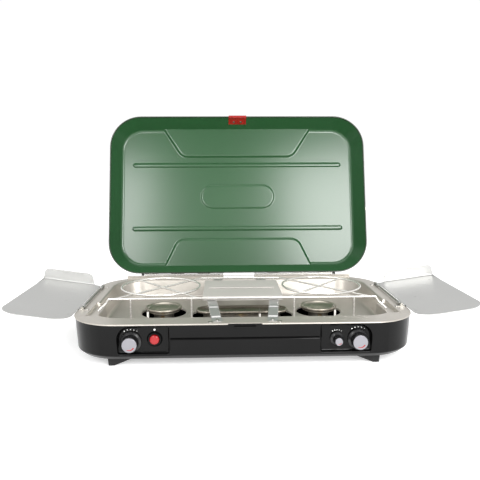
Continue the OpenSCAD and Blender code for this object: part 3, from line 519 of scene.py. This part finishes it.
def make_lid():
    """Lid pressed closed, with two steps, two grooves and a plaque, then opened; and its rolled hem."""
    rim_z, wall_run, bend_r = 4, 24.5, 12
    wall = math.atan2(LID_TOP - rim_z, wall_run)
    flat_from = wall_run + bend_r * math.tan(wall / 2)
    bend_s = [flat_from - bend_r * math.sin(wall * (1 - k / 9)) for k in range(10)]
    bend_z = [LID_TOP - bend_r + math.sqrt(max(0.0, bend_r ** 2 - (flat_from - s) ** 2)) for s in bend_s]
    prof_s, prof_z = [0.0] + bend_s + [400.0], [rim_z] + bend_z + [LID_TOP]
    steps = {side: trapezoid_points(side) for side in SIDES}

    def height(x, y):
        z = np.interp(rect_distance(x, y, LID_W, LID_D, LID_R), prof_s, prof_z)
        for side in SIDES:
            m = smooth((polygon_distance(x, y, steps[side]) + STEP_WIDE / 2) / STEP_WIDE)
            z = soft_min(z, LID_TOP + 4 * (1 - m) - STEP_DEEP * m, 1.2)
            groove = stadium_distance(x, y, GROOVE_HALF, GROOVE_R, side * GROOVE_Y)
            z = z - GROOVE_DEEP * smooth((groove + 1.0) / 4.0)
        plaque = stadium_distance(x, y, PLAQUE_HALF, PLAQUE_R)
        return z - PLAQUE_DEEP * smooth((plaque + 2.5) / 5)

    loops = [lid_loop(s) for s in [0, 6, 14] + bend_s + [30, 33, 36, 39, 44]]
    for off in (-3.0, -1.0, 0.0, 1.0, 2.0, 3.0):
        loops += [stadium_loop(GROOVE_HALF - off, GROOVE_R - off, side * GROOVE_Y, 14, 60) for side in SIDES]
    for off in (-4.5, -2.5, -1.2, 0, 1.2, 2.5, 4.5):
        loops.append(stadium_loop(PLAQUE_HALF - off, PLAQUE_R - off, 0, 28, 24))
    lines = []
    for side in SIDES:
        for off in (-5.4, -3.6, -1.8, 0, 1.8, 3.6, 5.4):
            line = spaced(trapezoid_points(side, -off), 5)
            lines.append([p for p in line if abs(p[1]) < LID_D / 2 - 0.5])

    def keep(x, y):
        return rect_distance(x, y, LID_W, LID_D, LID_R) > 0

    v, tri = height_sheet(loops, keep, height, lines)
    v[:, 2] += LID_RIM_Z
    skin, faces = thicken(v, tri, -LID_SHEET)
    hem = filleted([(1.2, 4.6), (0, 4.6), (0, 0), (3.2, 0), (3.2, 3.4), (1.2, 3.4)], [0.5, 1.5, 1.5, 1.2])
    rings = [[(x, y, LID_RIM_Z + z) for x, y in lid_loop(s)] for s, z in hem]
    hem_verts, hem_faces = sweep_loops(rings)
    lid = mesh_object("lid_pressing", lid_rest(skin), faces, "lid", "lid_green", 50)
    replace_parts(lid, "lid_shell")
    # The hem wears the darker copy of the lid enamel, which is painted shade.
    mesh_object("lid_hem", lid_rest(np.array(hem_verts)), hem_faces, "lid", "lid_green", 50, HEM_SHADED_GREEN)


# ---------------------------------------------------------------- deck pan

BASIN_W, BASIN_D, BASIN_R, BASIN_Y = 640, 360, 70, 10
LEDGE_X, LEDGE_Y, LEDGE_Z = 316, -97.5, 87.5
LEDGE_HALF_W, LEDGE_HALF_D = 10, 52.5
HOLE_R = 52
BAR_HOLE_HALF, BAR_HOLE_R = 118, 39


def ledge_distance(x, y):
    """Distance inside the nearer grate ledge (negative outside)."""
    return np.minimum(LEDGE_HALF_W - np.abs(np.abs(x) - LEDGE_X), LEDGE_HALF_D - np.abs(y - LEDGE_Y))


def hole_gap(x, y):
    """Distance outside the nearest burner opening."""
    bar = -stadium_distance(x, y, BAR_HOLE_HALF, BAR_HOLE_R, BAR_Y)
    return np.minimum(np.hypot(np.abs(x) - BURNER_X, y - BURNER_Y) - HOLE_R, bar)


def make_deck():
    """Rim, basin and ledges in one pressing, with a turned-down edge and lipped burner openings."""
    wall = filleted([(-20, DECK_Z), (0, DECK_Z), (12, 52), (40, 52)], [4.5, 9])
    wall_s, wall_z = [p[0] for p in wall], [p[1] for p in wall]
    edge_s, edge_z = [0, 0.06, 0.3, 0.8, 1.5, 2.4], [-2.6, -1.7, -1.0, -0.46, -0.13, 0]
    lip_s, lip_z = [0, 0.4, 1.2, 2.5, 4.5, 8], [-2.6, -0.6, 0.8, 1.5, 1.1, 0]
    notch = [(-35, -219), (-30, -216), (30, -216), (35, -219)]

    def height(x, y):
        z = np.interp(rect_distance(x, y - BASIN_Y, BASIN_W, BASIN_D, BASIN_R), wall_s, wall_z)
        m = smooth((ledge_distance(x, y) + 1.3) / 2.6)
        z = z * (1 - m) + LEDGE_Z * m
        z = z + np.interp(case_distance(x, y), edge_s, edge_z)
        return z + np.interp(hole_gap(x, y), lip_s, lip_z)

    loops = [case_loop(s, 24) for s in edge_s]
    loops += [rect_loop(BASIN_W - 2 * s, BASIN_D - 2 * s, BASIN_R - s, BASIN_Y, 20) for s in wall_s[1:-1]]
    for h in lip_s:
        loops += [circle_loop(side * BURNER_X, BURNER_Y, HOLE_R + h) for side in SIDES]
        loops.append(stadium_loop(BAR_HOLE_HALF + h, BAR_HOLE_R + h, BAR_Y))
    for g in (-1.3, -0.5, 0.4, 1.3):
        ledge = rect_loop(2 * (LEDGE_HALF_W + g), 2 * (LEDGE_HALF_D + g), 1.6 + g, LEDGE_Y, 3, 6)
        loops += [[(side * (x + LEDGE_X), y) for x, y in ledge] for side in SIDES]
    loops.append(notch)

    def keep(x, y):
        return (case_distance(x, y) > 0) & (hole_gap(x, y) > 0) & (polygon_distance(x, y, notch) < 0)

    skin, faces = thicken(*height_sheet(loops, keep, height), -1.2)
    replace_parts(mesh_object("deck_pressing", skin, faces, "stove_base", "deck_steel", 40), "deck_pan")


# ---------------------------------------------------------------- wind guards

GUARD_X, GUARD_Z, GUARD_TILT = 345, 99, math.radians(8)


def guard_part():
    """Right-hand guard: a flat outline bent up at its back, with two rolled knuckles."""
    outline = [(8, 115), (8, 94), (0, 94), (0, 80), (8, 80), (8, -80), (0, -80), (0, -94), (8, -94)]
    outline += arc_points(48, -155, 40, 180, 270, 14) + arc_points(105, -150, 45, 270, 360, 14)
    outline += [(150, 60), (150, 118)] + arc_points(140, 132.4, 10, 0, 90, 8)
    outline += arc_points(44, 124.4, 18, 90, 180, 10) + [(25, 119.5), (20, 115)]
    dents, dent_r = [(49, -51), (17, -150), (128, 76)], 4.2
    fold_t, fold_r = 114, 2.8
    bend = [112, fold_t, 114.9, 115.8, 116.7, 117.6, 118.4, 121]
    lines = [[(s, t) for s in np.arange(9.0, 149.5, 5.0)] for t in bend]
    loops = [outline] + [circle_loop(s, t, r, 20) for s, t in dents for r in (1.2, 2.6, dent_r)]

    def keep(s, t):
        return polygon_distance(s, t, outline) > 0

    flat, tri = flat_mesh(loops, keep, lines)
    s, t = flat[:, 0], flat[:, 1]
    turn = np.clip((t - fold_t) / fold_r, 0, math.pi / 2)
    y = np.where(t < fold_t, t, fold_t + fold_r * np.sin(turn))
    off = -2.4 + fold_r * (1 - np.cos(turn)) + np.maximum(t - fold_t - fold_r * math.pi / 2, 0)
    for ds, dt in dents:
        off = off + 0.8 * smooth((dent_r - np.hypot(s - ds, t - dt)) / 3)
    plate = thicken(np.column_stack((s, y, off)), tri, -1.2)
    knuckles = []
    for c in (-87, 87):
        ring = [(3.6, c - 6.6), (3.6, c + 6.6), (3.2, c + 7), (2.06, c + 7), (2.06, c - 7), (3.2, c - 7)]
        knuckles.append(lathe(ring, 32, lambda u, v, h: (v, h, u), closed=True))
    verts, faces = join(plate, *knuckles)
    ct, st = math.cos(GUARD_TILT), math.sin(GUARD_TILT)
    return [(GUARD_X + x * ct - z * st, y, GUARD_Z + x * st + z * ct) for x, y, z in verts], faces


def make_guards():
    """Both wind guards, folded out."""
    right = guard_part()
    for side, part in (("right", right), ("left", mirrored(right))):
        o = mesh_object("guard_sheet_" + side, *part, "wind_guard_" + side, "guard_steel", 35)
        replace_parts(o, "wind_guard_" + side)


# ---------------------------------------------------------------- centre bridge

def bridge_plate():
    """Top plate with its front and back lips bent down, and a pierced slot."""
    wide, long, corner_r, middle, top = 176, 181.86, 3, -3.5, 116.5
    front, back, fold_r = -84.5, 77.5, 2.5
    slot_half_w, slot_half_d, slot_y = 76, 4, -5
    lip_s, lip_z = (0, 0.5, 1.4), (1.2, 0.35, 0)
    outline = rect_loop(wide, long, corner_r, middle, 5, 16)
    slot = [(x, y + slot_y) for x, y in rect_loop(2 * slot_half_w, 2 * slot_half_d, 3.6, 0, 5, 8)]
    slots = [[(x * (1 + g / slot_half_w), slot_y + (y - slot_y) * (1 + g / slot_half_d)) for x, y in slot]
             for g in lip_s]
    fold = [-90, -88.4, -87.4, -86.4, -85.4, front, back, 78.4, 79.4, 80.4, 81.4, 83]
    lines = [[(x, t) for x in np.arange(-86.0, 86.5, 8.6)] for t in fold]

    def keep(x, t):
        return (rect_distance(x, t - middle, wide, long, corner_r) > 0) & (polygon_distance(x, t, slot) < 0)

    flat, tri = flat_mesh([outline] + slots, keep, lines)
    x, t = flat[:, 0], flat[:, 1]
    c = np.clip(t, front, back)
    past = np.abs(t - c)
    turn = np.clip(past / fold_r, 0, math.pi / 2)
    y = c + np.sign(t - c) * fold_r * np.sin(turn)
    z = top - fold_r * (1 - np.cos(turn)) - np.maximum(past - fold_r * math.pi / 2, 0)
    z = z - np.interp(-polygon_distance(x, t, slot), lip_s, lip_z)
    return thicken(np.column_stack((x, y, z)), tri, -1.3)


def bridge_arm(run, base, turn):
    """Joggled strap with rolled sides, from under the plate down to the deck."""
    foot, half_w, toe_r = 1.2, 10.5, 5
    path = [(-1, 14.7), (0.34 * run, 10.7), (0.37 * run, 8.7), (0.74 * run, 3.7), (0.77 * run, foot),
            (run, foot)]
    line = filleted(path, [4, 4, 4, 4])[:-1] + [(run - back, foot) for back in (8, 5, 2.5, 0.8, 0)]
    across = [(-1, 1.9), (-0.975, 1.1), (-0.9, 0.45), (-0.78, 0.1), (-0.6, 0), (0, 0),
              (0.6, 0), (0.78, 0.1), (0.9, 0.45), (0.975, 1.1), (1, 1.9)]
    cs, sn = math.cos(math.radians(turn)), math.sin(math.radians(turn))
    verts = []
    for d, h in line:
        half = half_w - (toe_r - math.sqrt(max(0.0, toe_r ** 2 - max(0.0, d - run + toe_r) ** 2)))
        roll = float(smooth((h - foot) / 2.5)) if d > 0.5 * run else 1.0
        for w, drop in across:
            x = w * half
            verts.append((base[0] + x * cs - d * sn, base[1] + x * sn + d * cs, DECK_Z + h - drop * roll))
    n = len(across)
    tri = []
    for k in range(len(line) - 1):
        for i in range(n - 1):
            a = k * n + i
            tri += [(a, a + 1, a + n + 1), (a, a + n + 1, a + n)]
    return thicken(np.array(verts), np.array(tri), -1.15)


def make_bridge():
    """Bridge plate and the four straps that carry it over the deck."""
    splay = 6.4
    arms = []
    for base, run, turn in (((68, -87), 121, 180 - splay), ((68, 80), 122, splay)):
        arm = bridge_arm(run, base, turn)
        arms += [arm, mirrored(arm)]
    plate = mesh_object("bridge_pressing", *bridge_plate(), "stove_base", "deck_steel", 40, BRIDGE_STEEL)
    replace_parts(plate, "centre_bridge")
    mesh_object("bridge_straps", *join(*arms), "stove_base", "deck_steel", 40, FIN["guard_steel"])


# ---------------------------------------------------------------- case and control panels

def pocket_points(grow=0.0):
    """Outline of the right-hand control pocket in X and Z, anticlockwise."""
    x0, x1, z0, z1 = 150 - grow, 252 + grow, 33 - grow, 89 + grow
    out = []
    corners = ((x1, z0, 4, 270, 6), (x1, z1, 26, 0, 14), (x0, z1, 4, 90, 6), (x0, z0, 4, 180, 6))
    for cx, cz, r, a0, n in corners:
        r = max(0.2, r + grow)
        mx, mz = cx + (r if cx == x0 else -r), cz + (r if cz == z0 else -r)
        out += arc_points(mx, mz, r, a0, a0 + 90, n)
    return out


def path_lengths(points):
    """Distance along a path to each of its points."""
    return np.concatenate(([0], np.cumsum(np.linalg.norm(np.diff(points, axis=0), axis=1))))


def make_case():
    """Case wall as a sheet laid out flat, distance round the rim by distance down the wall; and its floor."""
    half_w, half_d = CASE_W / 2, CASE_D / 2
    straight_x, straight_y = half_w - CASE_R, half_d - CASE_R
    sheet, lip, floor_z, floor_inset = 1.5, 2.2, 20, 38
    ring = rect_loop(CASE_W, CASE_D, CASE_R, 0, 40, 2)
    path = np.array(ring + [ring[0]])
    run = path_lengths(path)
    out = (path - np.clip(path, [-straight_x, -straight_y], [straight_x, straight_y])) / CASE_R
    prof = np.array(filleted([(sheet, 93.8), (6, 29), (16, floor_z), (floor_inset, floor_z)], [5, 4]))
    drop = path_lengths(prof)

    def run_at(x, y):
        return run[int(np.argmin(np.hypot(path[:, 0] - x, path[:, 1] - y)))]

    def level(z):
        return -float(np.interp(-z, -prof[:, 1], drop))

    front = run_at(-straight_x, -half_d) + straight_x
    inlet = run_at(half_w, -straight_y) + (INLET_Y + straight_y)

    def pockets(grow):
        pts = pocket_points(grow)
        return [[(front + x, level(z)) for x, z in pts], [(front - x, level(z)) for x, z in reversed(pts)]]

    holes = pockets(0) + [circle_loop(inlet, level(INLET_Z), 12, 36)]
    us = sorted({float(u) for u in (*run[::2], run[-1], *np.arange(25, run[-1], 60))})
    depths = [-float(d) for d in drop]
    border = [(u, 0.0) for u in us] + [(us[-1], d) for d in depths[1:-1]]
    border += [(u, depths[-1]) for u in reversed(us)] + [(0.0, d) for d in depths[-2:0:-1]]
    lines = [[(u, d) for u in us] for d in depths[1:-1]]
    loops = [border] + holes
    for g in (0.3, 0.8, 1.4, lip):
        loops += pockets(g)

    def gap(u, v):
        return np.minimum.reduce([-polygon_distance(u, v, h) for h in holes])

    flat, tri = flat_mesh(loops, lambda u, v: gap(u, v) > 0, lines)
    u, v = flat[:, 0], -flat[:, 1]
    near = np.clip(gap(flat[:, 0], flat[:, 1]), 0, lip)
    inset = np.interp(v, drop, prof[:, 0]) + lip - np.sqrt(lip ** 2 - (lip - near) ** 2)
    px, py, nx, ny = (np.interp(u, run, c) for c in (path[:, 0], path[:, 1], out[:, 0], out[:, 1]))
    skin = np.column_stack((px - nx * inset, py - ny * inset, np.interp(v, drop, prof[:, 1])))
    walls = thicken(*weld(skin, tri), -sheet)
    slots = [[(x + 16 * i + q, BURNER_Y + p) for p, q in reversed(stadium_loop(30, 3))]
             for x in (-BURNER_X, 0, BURNER_X) for i in range(-2, 3)]

    def solid(x, y):
        inside = case_distance(x, y, floor_inset) > 0
        for loop in slots:
            inside &= polygon_distance(x, y, loop) < 0
        return inside

    floor = height_sheet([case_loop(floor_inset)] + slots, solid, lambda x, y: x * 0 + floor_z + sheet)
    verts, faces = join(walls, thicken(*floor, -sheet))
    o = mesh_object("case_pressing", verts, faces, "stove_base", "case_black", 40)
    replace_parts(o, "base_case")


PANEL_Y, PANEL_SHEET = -206.5, 1.2
PRINT_Y, PRINT_THICK = -206.62, 0.3


def make_panel(side, bores, bezel=None):
    """Dished panel in a control pocket, with round holes and a raised ring about the button."""
    prof = filleted([(0, PANEL_Y - 6), (1.0, PANEL_Y), (60, PANEL_Y)], [4.5])
    deep_s, deep_y = [p[0] for p in prof], [p[1] for p in prof]
    edge, bore_r = pocket_points(), 6
    ring_r, ring_h = [9.8, 10.3, 11.1, 12.5, 13.7, 15.6], [3.2, 3.9, 4.2, 3.8, 1.8, 0]
    loops = [pocket_points(-d) for d in deep_s[:-1]] + [circle_loop(*b, bore_r, 24) for b in bores]
    if bezel:
        loops += [circle_loop(*bezel, r, 48) for r in ring_r]

    def keep(x, z):
        ok = polygon_distance(x, z, edge) > 0
        for cx, cz in bores:
            ok &= np.hypot(x - cx, z - cz) > bore_r
        if bezel:
            ok &= np.hypot(x - bezel[0], z - bezel[1]) > ring_r[0]
        return ok

    flat, tri = flat_mesh(loops, keep)
    x, z = flat[:, 0], flat[:, 1]
    y = np.interp(polygon_distance(x, z, edge), deep_s, deep_y)
    if bezel:
        y = y - np.interp(np.hypot(x - bezel[0], z - bezel[1]), ring_r, ring_h)
    verts, faces = thicken(np.column_stack((x, y, z)), tri, -PANEL_SHEET)
    if side == "left":
        verts, faces = mirrored((verts, faces))
    o = mesh_object("panel_dish_" + side, verts, faces, "stove_base", "case_black", 40)
    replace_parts(o, "control_panel_" + side)


def print_disc(x, z, half_w, half_h):
    """Raised printed spot or dash on a control panel."""
    pts = rect_loop(2 * half_w, 2 * half_h, min(half_w, half_h) - 1e-3, 0, 5, 1)
    n = len(pts)
    verts = [(x + px, PRINT_Y + deep, z + pz) for deep in (0, PRINT_THICK) for px, pz in pts]
    return verts, [tuple(range(n))] + [(i, i + n, (i + 1) % n + n, (i + 1) % n) for i in range(n)]


def make_prints():
    """Mark over the button, and spots that grow round the top of each knob where the panel has room."""
    spots = [print_disc(-BUTTON_X, 80.6, 1.9, 1.9), print_disc(-BUTTON_X, 76.2, 4.2, 0.8)]
    edge = pocket_points()
    for x, z, reach in ((-KNOB_X, KNOB_Z, 25), (SMALL_KNOB_X, SMALL_KNOB_Z, 17.5), (KNOB_X, KNOB_Z, 25)):
        for k, a in enumerate((60, 75, 90, 105, 120)):
            a = math.radians(a)
            px, pz = x + reach * math.cos(a), z + reach * math.sin(a)
            if polygon_distance(np.array([abs(px)]), np.array([pz]), edge)[0] > 5.5:
                spots.append(print_disc(px, pz, 0.6 + 0.12 * k, 0.6 + 0.12 * k))
    mesh_object("panel_marks", *join(*spots), "stove_base", "ceramic", 40, WHITE_PRINT)


# ---------------------------------------------------------------- knobs and button

def make_knob(name, x, z, skirt):
    """Fluted knob on a skirt, with a bright disc on its face and a red arc on the disc."""
    back, flutes = -207.0, 28
    grip = skirt - 5

    def place(u, v, h):
        return x + u, back - h, z + v

    def flute(a, h):
        return -0.55 * (0.5 + 0.5 * math.cos(flutes * a)) ** 2 if 7.6 < h < 20.8 else 0.0

    prof = [(3, 15), (3, 0), (skirt - 0.6, 0), (skirt, 0.6), (skirt, 2.6), (skirt - 0.5, 3.4),
            (skirt - 3.2, 5.2), (grip + 0.4, 6.4), (grip, 7.2), (grip, 7.7), (grip - 0.3, 14),
            (grip - 0.6, 20.6), (grip - 0.7, 21.0), (grip - 1.1, 21.8), (grip - 1.9, 22), (0, 22), (0, 15)]
    o = mesh_object(name + "_moulding", *lathe(prof, 6 * flutes, place, flute), name, "knob_black", 32)
    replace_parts(o, name)
    r = grip - 1.6
    face = [(0, 21.9), (r, 21.9), (r, 22.6), (r - 0.3, 23.0), (r - 0.9, 23.2), (r * 0.8, 22.9),
            (r * 0.76, 22.95), (r * 0.4, 23.1), (0, 23.2)]
    o = mesh_object(name + "_disc", *lathe(face, 96, place), name, "knob_face", 40)
    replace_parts(o, name + "_face")

    start, stop, steps, top, bottom = -118, -28, 18, 23.13, 22.6
    verts, faces = [], []
    for i in range(steps + 1):
        a = math.radians(start + (stop - start) * i / steps)
        wide = r * (0.05 + 0.1 * i / steps)
        lo, hi = r * 0.72 - wide, r * 0.72 + wide * 0.2
        verts += [place(q * math.cos(a), q * math.sin(a), h)
                  for q, h in ((lo, top), (hi, top), (lo, bottom), (hi, bottom))]
    for i in range(steps):
        b, c = 4 * i, 4 * i + 4
        faces += [(b, b + 1, c + 1, c), (b + 1, b + 3, c + 3, c + 1), (b + 2, b, c, c + 2)]
    mesh_object(name + "_arc", verts, faces, name, "button_red", 40)


def make_button():
    """Igniter button: a short round cap, dished on its face."""
    def place(u, v, h):
        return -BUTTON_X + u, -200.5 - h, BUTTON_Z + v

    prof = [(0, 0), (9.5, 0), (9.5, 11.6), (9.3, 12.7), (8.7, 13.6), (7.8, 14.2), (6.6, 14.5), (5.4, 14.45),
            (3, 14.1), (0, 14.0)]
    o = mesh_object("button_cap", *lathe(prof, 72, place), "igniter_button", "button_red", 40)
    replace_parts(o, "igniter_button")


# ---------------------------------------------------------------- burners

def make_burners():
    """Dished caps: round ones with ports about their edge at the sides, a long plain one in the middle."""
    ports = 44
    for side, x in (("left", -BURNER_X), ("right", BURNER_X)):
        def place(u, v, h, x=x):
            return x + u, BURNER_Y + v, CAP_Z + h

        def port(a, h):
            return -0.9 * (0.5 + 0.5 * math.cos(ports * a)) if 0.9 < h < 3.3 else 0.0

        prof = [(0, 0), (38.2, 0), (39.3, 0.4), (40.1, 1.2), (41.2, 2.4), (41.9, 3.2), (42.6, 3.9), (43, 4.8),
                (43, 6.2), (42.7, 7.2), (42, 7.8), (41, 8), (39.4, 7.9), (38, 7.3), (36.4, 6.0), (34, 4.4),
                (30, 3.3), (25, 2.7), (14, 2.5), (6, 2.5), (5, 3.1), (0, 3.2)]
        cap = lathe(prof, 4 * ports, place, port)
        o = mesh_object("burner_cap_" + side, *cap, "stove_base", "burner_steel", 40)
        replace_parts(o, "burner_" + side + "_cap")
    half, r = 107, 28
    prof = [(4.6, 0), (3.2, 0.9), (1.6, 2.4), (0.4, 3.6), (0, 4.8), (0, 6.4), (0.4, 7.4), (1.2, 8), (2.6, 8),
            (4.0, 7.5), (5.2, 6.2), (6.6, 4.2), (9, 3.3), (14, 3.0)]
    rings = [[(x, y, CAP_Z + h) for x, y in stadium_loop(half - s, r - s, BAR_Y, 20, 24)] for s, h in prof]
    verts, faces = sweep_loops(rings)
    n = len(rings[0])
    faces = faces[:-n] + [tuple(reversed(range(n))), tuple(range((len(rings) - 1) * n, len(rings) * n))]
    o = mesh_object("burner_cap_centre", verts, faces, "stove_base", "burner_steel", 40)
    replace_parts(o, "burner_centre_cap")


# ---------------------------------------------------------------- small edges on the CAD pieces

def soften(width, *names):
    """Rounds the sharp edges of CAD nodes by a width in millimetres."""
    for name in names:
        o = nodes[name]
        seal = o.modifiers.new("seal", "WELD")
        seal.merge_threshold = 0.00001
        edge = o.modifiers.new("edge_radius", "BEVEL")
        edge.width = width * MM
        edge.segments = 3
        edge.limit_method = "ANGLE"
        edge.angle_limit = math.radians(35)


def make_floor():
    """White paper under the stove, lit from within so that it meets the air without a line."""
    half = 30
    me = bpy.data.meshes.new("studio_floor")
    corners = [(-half, -half, 0), (half, -half, 0), (half, half, 0), (-half, half, 0)]
    me.from_pydata(corners, [], [(0, 1, 2, 3)])
    o = bpy.data.objects.new("studio_floor", me)
    m = finish("studio_paper", (0.9, 0.9, 0.9), 0.8, spec=0.1, vary=0.0, rough_vary=0.03, grain_scale=300,
               bump=0.0, bump_depth=0.0002)
    p = m.node_tree.nodes["Principled BSDF"]
    p.inputs["Emission Color"].default_value = (1, 1, 1, 1)
    p.inputs["Emission Strength"].default_value = 0.45
    me.materials.append(m)
    scene.collection.objects.link(o)


dress_cad_nodes()
make_camera()
make_light()
make_floor()
make_lid()
make_deck()
make_guards()
make_bridge()
make_case()
make_panel("left", [(KNOB_X, KNOB_Z)], (BUTTON_X, BUTTON_Z))
make_panel("right", [(KNOB_X, KNOB_Z), (SMALL_KNOB_X, SMALL_KNOB_Z)])
make_prints()
make_knob("knob_left", -KNOB_X, KNOB_Z, 21)
make_knob("knob_small", SMALL_KNOB_X, SMALL_KNOB_Z, 14)
make_knob("knob_right", KNOB_X, KNOB_Z, 21)
make_button()
make_burners()
soften(1.2, "front_fascia")
soften(1.5, "feet")
soften(0.5, "latch_catch", "latch_bracket", "latch_lever")
soften(0.3, "rear_shield", "guard_brackets_left", "guard_brackets_right")
scene.view_settings.view_transform = "Standard"
